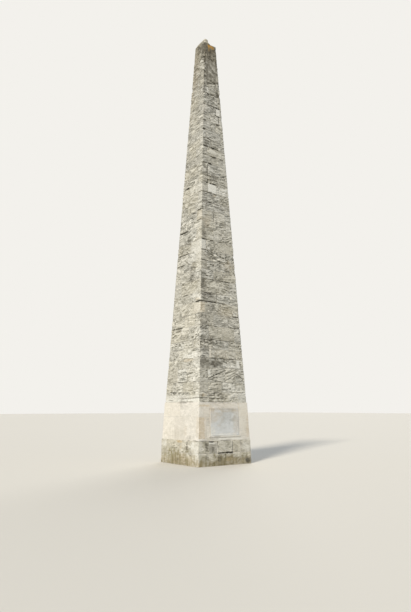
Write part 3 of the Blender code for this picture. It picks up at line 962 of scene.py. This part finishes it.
SHAFT_STAINS = RISING_STAINS + rows_of({
    ("soot", FRONT): [
        (0, 1130, 400, 230, 7), (-65, 292, 55, 18, 45), (-15, 290, 22, 12, 40), (30, 300, 30, 5, 35),
        (-65, 355, 35, 10, 45), (-35, 366, 25, 5, 35), (10, 363, 50, 5, 35), (-65, 420, 30, 24, 30),
        (-30, 460, 15, 12, 50), (12, 413, 24, 7, 40), (-45, 500, 32, 12, 40), (-62, 535, 14, 20, 40),
        (-15, 615, 38, 35, 6), (-50, 695, 12, 20, 45), (-48, 822, 20, 25, 30), (-15, 828, 20, 16, 25),
        (10, 795, 30, 6, 30), (-42, 920, 16, 55, 30), (-10, 895, 22, 22, 30), (-28, 1025, 16, 22, 35),
        (-35, 1140, 10, 35, 30), (-35, 200, 45, 12, 30),
    ],
    ("algae", FRONT): [(-60, 290, 40, 20, 30)],
    ("ochre", FRONT): [
        (-72, 199, 16, 6, 35), (-40, 740, 20, 25, 22), (-5, 833, 6, 5, 45), (40, 605, 26, 22, 18),
        (20, 450, 35, 28, 14), (0, 320, 40, 20, 12),
    ],
    ("pale", FRONT): [
        (60, 205, 50, 36, 55), (25, 285, 34, 9, 50), (55, 500, 30, 20, 25), (-20, 692, 26, 10, 35),
        (-50, 765, 7, 14, 40), (30, 765, 20, 10, 25), (38, 960, 20, 80, 30), (30, 1120, 16, 80, 25),
        (-38, 1052, 9, 8, 90), (-10, 988, 25, 10, 30), (5, 1235, 20, 16, 30),
    ],
    ("soot", LEFT): [
        (2, 190, 22, 8, 35), (-50, 203, 22, 5, 30), (35, 290, 12, 8, 55), (36, 260, 16, 4, 45),
        (-46, 336, 18, 4, 50), (-60, 260, 45, 55, 12), (78, 312, 7, 24, 60), (76, 362, 8, 12, 55),
        (72, 432, 10, 18, 70), (-10, 374, 24, 4, 50), (5, 439, 20, 5, 50), (15, 590, 30, 8, 65),
        (22, 562, 24, 22, 40), (-45, 606, 24, 6, 45), (-40, 660, 25, 25, 22), (-6, 685, 14, 16, 55),
        (-30, 726, 30, 7, 40), (47, 910, 7, 20, 30),
    ],
    ("ochre", LEFT): [(20, 302, 34, 5, 35), (60, 485, 14, 5, 35)],
    ("pale", LEFT): [
        (10, 300, 85, 60, 20), (60, 245, 35, 20, 35), (35, 314, 40, 11, 80), (45, 500, 35, 20, 35),
        (50, 570, 20, 14, 40), (30, 635, 45, 30, 35), (25, 715, 35, 30, 25), (35, 990, 14, 22, 35),
        (-5, 272, 25, 6, 50), (60, 182, 50, 8, 60), (-70, 182, 30, 6, 50), (50, 762, 12, 12, 45),
    ],
    ("algae", BACK): [(0, 260, 90, 120, 25)],
    ("pit", FRONT): [(-10, 625, 32, 40, 100), (-32, 1305, 10, 20, 100)],
    ("pit", LEFT): [(32, 1305, 10, 20, 100)],
})
SHAFT_PATCHES = rows_of({
    ("smooth", LEFT): [(-92, 92, 177, 200, 70), (42, 80, 444, 474, 60), (10, 70, 643, 676, 60)],
    ("pale", LEFT): [
        (-92, 92, 177, 197, 38), (42, 80, 444, 474, 40), (12, 70, 643, 676, 28), (-10, 52, 848, 870, 30),
    ],
    ("smooth", FRONT): [
        (-90, -54, 206, 248, 85), (-90, -40, 279, 304, 60), (-47, -39, 307, 340, 100),
        (-38, 70, 310, 340, 45), (-54, -45, 257, 272, 90), (56, 68, 280, 304, 90),
        (-10, 55, 374, 402, 40), (-70, -46, 643, 676, 95), (-41, -31, 645, 655, 100),
        (24, 52, 642, 668, 80), (2, 36, 750, 776, 60), (-30, 2, 842, 872, 95), (16, 32, 1133, 1159, 50),
        (-22, 30, 1262, 1340, 85),
    ],
    ("soot", FRONT): [
        (-90, -54, 206, 248, 10), (-90, -50, 277, 305, 10), (-90, -47, 306, 344, 25),
        (-42, -28, 1105, 1128, 14), (-22, 30, 1262, 1340, 10),
    ],
    ("pale", FRONT): [
        (-47, -39, 307, 340, 90), (-54, -45, 257, 272, 100), (56, 68, 280, 304, 100),
        (-80, -58, 445, 474, 30), (52, 70, 442, 453, 60), (-70, -46, 643, 676, 65),
        (-30, 2, 842, 872, 100), (2, 60, 842, 872, 75), (16, 32, 1133, 1159, 100),
        (10, 32, 1106, 1129, 45), (-42, -24, 1133, 1158, 85),
    ],
    ("ochre", FRONT): [(-47, -39, 307, 340, 22), (-80, -58, 445, 474, 35), (-42, -24, 1133, 1158, 16)],
    ("ochre", LEFT): [(42, 80, 444, 474, 14), (36, 62, 745, 774, 16)],
    ("soot", LEFT): [(-50, -18, 393, 407, 40), (-70, 2, 645, 676, 10)],
})
# Small holes that frost has left: the u and z of each
HOLES = rows_of({
    ("soot", FRONT): [
        (-33, 628), (-27, 642), (-20, 629), (0, 633), (10, 631), (21, 627), (-20, 618), (-10, 619),
        (-24, 608), (-28, 599), (-19, 595), (-8, 561), (-45, 560), (-30, 886), (-36, 895),
    ],
    ("soot", LEFT): [(-24, 544), (-8, 525), (-10, 648), (-12, 660), (-42, 667)],
})
HOLE_HALF = 0.018
HOLE_FALL = 0.004
HOLE_REACH = 0.022
HOLE_DEPTH = 0.020
HOLE_SCARS = [
    (mark, face, u - HOLE_HALF, z, u + HOLE_HALF, z - HOLE_FALL, HOLE_REACH, HOLE_DEPTH)
    for mark, face, u, z in HOLES
]
SHAFT_SCARS = HOLE_SCARS + rows_of({
    ("soot", LEFT): [
        # The first row, a shallow groove at z 187 to 191, is darkened as a painted shadow line
        (0, 187, 90, 191, 1.6, 0.8), (-70, 183, -45, 183, 1.2, 0.8), (-5, 373, 20, 375, 1.3, 1),
        (15, 410, 14, 430, 1, 0.6), (0, 495, -1, 510, 1, 0.6), (-45, 645, -24, 643, 1.5, 1.4),
        (-22, 624, 6, 604, 1.8, 1), (-8, 795, 2, 778, 2.6, 1.2), (2, 778, 30, 770, 2.2, 1.2),
        (-40, 873.5, -22, 873.5, 3, 3), (24, 1299, 30, 1293, 2, 2.2),
    ],
    ("soot", FRONT): [
        # The first row, a shallow groove at z 191 to 187, is darkened as a painted shadow line
        (-90, 191, 10, 187, 1.3, 0.8), (-52, 247, 12, 271, 2.3, 2.4), (-24, 269, 16, 279, 1.4, 1),
        (56, 261, 82, 246, 2.4, 2), (-62, 346, -62, 358, 1.4, 1), (-17, 350, -16, 366, 1.1, 0.8),
        (-71, 394.5, -54, 394, 2, 1.6), (52, 432.5, 68, 433, 1.1, 0.6), (-12, 480, -11, 512, 1, 0.8),
        (-66, 498, -18, 502, 1.2, 0.8), (20, 526, 42, 516, 1.6, 1.4), (20, 510, 20, 530, 1, 0.6),
        (0, 550, 44, 546, 1, 0.8), (18, 570, 54, 576, 1.8, 1.4), (24, 586, 48, 584, 1, 0.8),
        (7, 586, 7, 606, 1, 0.8), (-13, 642, -11, 644, 2.4, 2.2), (-12, 746, -12, 784, 1.6, 1),
        (0, 720, 0, 740, 1, 0.8), (-40, 785, -39, 804, 1.2, 1), (-24, 807, 10, 804, 2, 1.2),
        (-10, 796, 28, 790, 2, 1.2), (-29, 878, -29, 938, 2, 1.4), (25, 906, 47, 916, 2.8, 2.2),
        (8, 912, 26, 918, 1.6, 1), (-14, 1203, 14, 1211, 2, 1.4), (27, 1105, 28, 1128, 3, 2.8),
        (13, 1162, 30, 1161, 2.6, 2.4), (13, 1098, 24, 1097, 2, 1.8), (-24, 1303, -21, 1300, 2.6, 2.4),
        (-23, 1320, -19, 1321, 2, 2), (-27, 1272, -20, 1268, 1.4, 1.2), (-10, 1262, 14, 1257, 1.8, 1.4),
        (6, 1250, 18, 1256, 1.4, 1.2),
    ],
    ("pale", FRONT): [
        (-80, 328, -66, 336, 1.6, 0), (54, 435.8, 72, 436.2, 1.4, 0), (26, 518, 55, 507, 2, 0),
        (-38, 650, -33, 650, 3.6, 0), (-27, 1312, -24, 1310, 2.6, 0), (-25, 1331, -22, 1330, 2.8, 0),
    ],
    ("pale", LEFT): [(20, 1310, 29, 1304, 3, 0), (26, 1324, 29, 1320, 2.4, 0)],
})
# The arrises are worn round, and the top course has lost a facet of one. Shells of
# stone have split off others, by course: which corner, how far up it, how deep.
ARRIS_WORN = 0.028
FACET_WORN = 0.115
SPALL_RADIUS = 0.160
SPALLS = {
    5: ((-1, -1), 0.45, 0.045),
    9: ((-1, -1), 0.12, 0.040),
    29: ((1, -1), 0.80, 0.030),
    32: ((1, -1), 0.40, 0.035),
    33: ((-1, 1), 0.45, 0.040),
}
for number in range(1, SHAFT_COURSES + 1):
    front_arris = FACET_WORN if number == SHAFT_COURSES else ARRIS_WORN
    arrises = (front_arris, ARRIS_WORN, ARRIS_WORN, ARRIS_WORN)
    course = Course(f"shaft_course_{number:02d}", number, SHAFT_BATTER, arrises, SHAFT_GAPS)
    # Rain washes the left face pale along the arris to the front, less so higher up
    middle = (course.foot + course.top) / 2
    washed = 0.45 - 0.30 * smooth_step(3.0, 8.0, middle)
    course.stains = [*SHAFT_STAINS, ("pale", LEFT, course.half(middle), middle, 0.24, 0.50, washed)]
    course.patches = SHAFT_PATCHES
    course.scars = SHAFT_SCARS
    if number in SPALLS:
        corner, share, depth = SPALLS[number]
        z = course.foot + share * (course.top - course.foot)
        outward = np.array((*corner, 0.0)) / math.sqrt(2)
        point = np.array((corner[0] * course.half(z), corner[1] * course.half(z), z))
        course.spalls = ((point + outward * (SPALL_RADIUS - depth), outward, SPALL_RADIUS),)
    wears = ["worn", "worn", "pitted"]
    lay_course(course, (shaft_limestone, shaft_mortar), wears, SHAFT_JOINTS)

# Capstone: one block with the last of the shaft and a blunt pyramid. Its right
# side has broken off along a rough ledge. Lichen grows on what faces the sky.
CAP_VOXEL = 0.009
# How deep it is eaten in ridges, lumps and pits, and how far its foot lies back, to
# meet the worn shaft, over what height
CAP_RIDGE = 0.006
CAP_LUMP = 0.004
CAP_PIT = 0.009
CAP_SINK = 0.006
CAP_SINK_UP = 0.25
CAP_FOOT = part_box("capstone")[0].z
CAP_STAINS = RISING_STAINS + rows_of({
    ("lichen", FRONT): [(-5, 1390, 3.5, 12, 80), (4, 1398, 15, 7, 100)],
    ("ochre", FRONT): [(4, 1390, 22, 24, 50), (-10, 1408, 16, 6, 20)],
    ("soot", FRONT): [(0, 1380, 60, 50, 12), (-2, 1350, 16, 14, 20)],
    ("soot", LEFT): [(5, 1385, 16, 18, 20)],
    ("pit", FRONT): [(-26, 1355, 10, 20, 100)],
    ("pit", LEFT): [(26, 1355, 10, 20, 100)],
    # The pale along the broken ledge at z 1405 to 1410 is partly washing and partly a painted highlight
    # along its crest
    ("pale", FRONT): [(-13, 1410, 17, 6, 120), (10, 1405, 16, 3, 60)],
})
CAP_SCARS = rows_of({
    ("soot", FRONT): [(-24, 1347, -20, 1350, 2.4, 2.4), (-21, 1362, -19, 1364, 1.8, 1.8)],
})
# Capstone limestone: a tone darker and warmer than the shaft, rough, with no joints
cap_limestone = limestone("capstone_limestone", "#DDD9CB", "#8B887B", "#C6BA98", 0.94, 5.0, 1.6)
cap_block = bpy.data.objects.new("cap_block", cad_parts["capstone"].data.copy())
bpy.context.scene.collection.objects.link(cap_block)
remesh = cap_block.modifiers.new("close_grid", "REMESH")
remesh.mode = "VOXEL"
remesh.voxel_size = CAP_VOXEL
shape = bpy.data.meshes.new_from_object(cap_block.evaluated_get(bpy.context.evaluated_depsgraph_get()))
bpy.data.objects.remove(cap_block)
points = np.empty(len(shape.vertices) * 3)
shape.vertices.foreach_get("co", points)
points = points.reshape(-1, 3)
outward = np.empty(points.size)
shape.vertices.foreach_get("normal", outward)
outward = outward.reshape(-1, 3)
face = np.argmax(points[:, :2] @ OUT.T, 1)
u = (RIGHT[face] * points[:, :2]).sum(-1)
marks = weather(face, u, points[:, 2], CAP_STAINS, (), CAP_SCARS)
bedded = points / np.array((0.13, 0.13, 0.055))
pits = smooth_step(0.20, 0.70, noise(points, 0.050, 23))
worn = CAP_RIDGE * noise(bedded, 1.0, 21) + CAP_LUMP * noise(points, 0.055, 22)
worn = worn + CAP_PIT * pits * (1 + 2 * marks["pit"])
# The darkness of the cap's hollows is partly soot and partly painted shade
marks["hollow_soot_and_shade"] = np.clip(0.45 + 40 * worn, 0, 1)
sunk = CAP_SINK * (1 - smooth_step(CAP_FOOT, CAP_FOOT + CAP_SINK_UP, points[:, 2]))
worn = worn + marks["deep"] + sunk
marks["lot"] = 0.5
marks["tint"] = 0.6

# What faces the sky is washed pale, partly a painted highlight where it turns up to
# the light, and grows ochre instead of soot; the tip is washed pale and loses its soot too
sky_washed_and_lit = smooth_step(0.35, 0.80, outward[:, 2])
tip = smooth_step(14.05, 14.35, points[:, 2])
marks["pale"] = np.clip(marks["pale"] + 0.6 * sky_washed_and_lit + 0.8 * tip, 0, 1)
marks["ochre"] = np.clip(marks["ochre"] + 0.40 * sky_washed_and_lit, 0, 1)
marks["soot"] = marks["soot"] * (1 - 0.8 * np.maximum(sky_washed_and_lit, tip)) * (1 - 0.7 * marks["lichen"])
faces = [list(polygon.vertices) for polygon in shape.polygons]
points = points - outward * np.clip(worn, -0.002, None)[:, None]
dress("capstone", "_stone", points, faces, [0] * len(faces), marks, (cap_limestone,))

# Floor, light and camera: a pale floor, one large soft key from the front left,
# a weak fill from behind, and the view of the photograph.
FLOOR_HALF = 150.0
FLOOR_Z = -0.003
FLOOR_CORNERS = [(-1, -1), (1, -1), (1, 1), (-1, 1)]
floor_mesh = bpy.data.meshes.new("floor")
floor_points = [(x * FLOOR_HALF, y * FLOOR_HALF, FLOOR_Z) for x, y in FLOOR_CORNERS]
floor_mesh.from_pydata(floor_points, [], [(0, 1, 2, 3)])
floor = bpy.data.objects.new("floor", floor_mesh)
bpy.context.scene.collection.objects.link(floor)
# Matt floor: a quiet warm grey that takes the shadow and gives back no shine
floor_finish = bpy.data.materials.new("pale_matt_floor")
floor_finish.use_nodes = True
floor_shader = floor_finish.node_tree.nodes["Principled BSDF"]
floor_shader.inputs["Base Color"].default_value = linear("#C9C4B8")
floor_shader.inputs["Roughness"].default_value = 0.9
floor_mesh.materials.append(floor_finish)


def add_sun(name, azimuth, elevation, strength, soften, hex_colour):
    """A soft light from a direction: azimuth 0 is in front, 90 is on the left."""
    light = bpy.data.lights.new(name, "SUN")
    light.color = linear(hex_colour)[:3]
    light.energy = strength
    light.angle = math.radians(soften)
    lamp = bpy.data.objects.new(name, light)
    bpy.context.scene.collection.objects.link(lamp)
    a = math.radians(azimuth)
    e = math.radians(elevation)
    toward = Vector((-math.sin(a) * math.cos(e), -math.cos(a) * math.cos(e), math.sin(e)))
    lamp.rotation_euler = toward.to_track_quat("Z", "Y").to_euler()


add_sun("key", azimuth=64.0, elevation=46.0, strength=3.07, soften=9.0, hex_colour="#FFF9F0")
add_sun("back_fill", azimuth=230.0, elevation=35.0, strength=1.1, soften=30.0, hex_colour="#FFFFFF")

# The camera sees a plain pale backdrop, and the stone is lit by a cool, dim sky
world = bpy.data.worlds.new("studio")
bpy.context.scene.world = world
world.use_nodes = True
tree = world.node_tree
tree.nodes.clear()
path = add_node(tree, "LightPath", {}, {})
direct = {0: path.outputs["Is Camera Ray"], 1: path.outputs["Is Glossy Ray"]}
seen = add_node(tree, "Math", {"operation": "MAXIMUM"}, direct)
through = {0: seen.outputs[0], 1: path.outputs["Is Transmission Ray"]}
seen = add_node(tree, "Math", {"operation": "MAXIMUM"}, through)
ambient = add_node(tree, "Background", {"Color": linear("#D6E6FD"), "Strength": 0.46}, {})
backdrop = add_node(tree, "Background", {"Color": linear("#F3F1EC"), "Strength": 1.0}, {})
chosen = add_node(tree, "MixShader", {}, {0: seen.outputs[0], 1: ambient.outputs[0], 2: backdrop.outputs[0]})
add_node(tree, "OutputWorld", {}, {"Surface": chosen.outputs[0]})

# Fitted to the outlines and the corner line in the photograph
EYE = Vector((-9.808, -13.217, 1.6))
VIEW_TURN = math.radians(-36.58)
VIEW_RISE = math.radians(11.03)
IMAGE_HEIGHT = 612
FOCAL_PIXELS = 525.45
lens = bpy.data.cameras.new("photo_view")
lens.sensor_width = 36.0
lens.lens = lens.sensor_width * FOCAL_PIXELS / IMAGE_HEIGHT
lens.clip_end = 400.0
camera = bpy.data.objects.new("photo_view", lens)
camera.location = EYE
camera.rotation_euler = (math.pi / 2 + VIEW_RISE, 0.0, VIEW_TURN)
bpy.context.scene.collection.objects.link(camera)
bpy.context.scene.camera = camera
bpy.context.scene.view_settings.view_transform = "Standard"
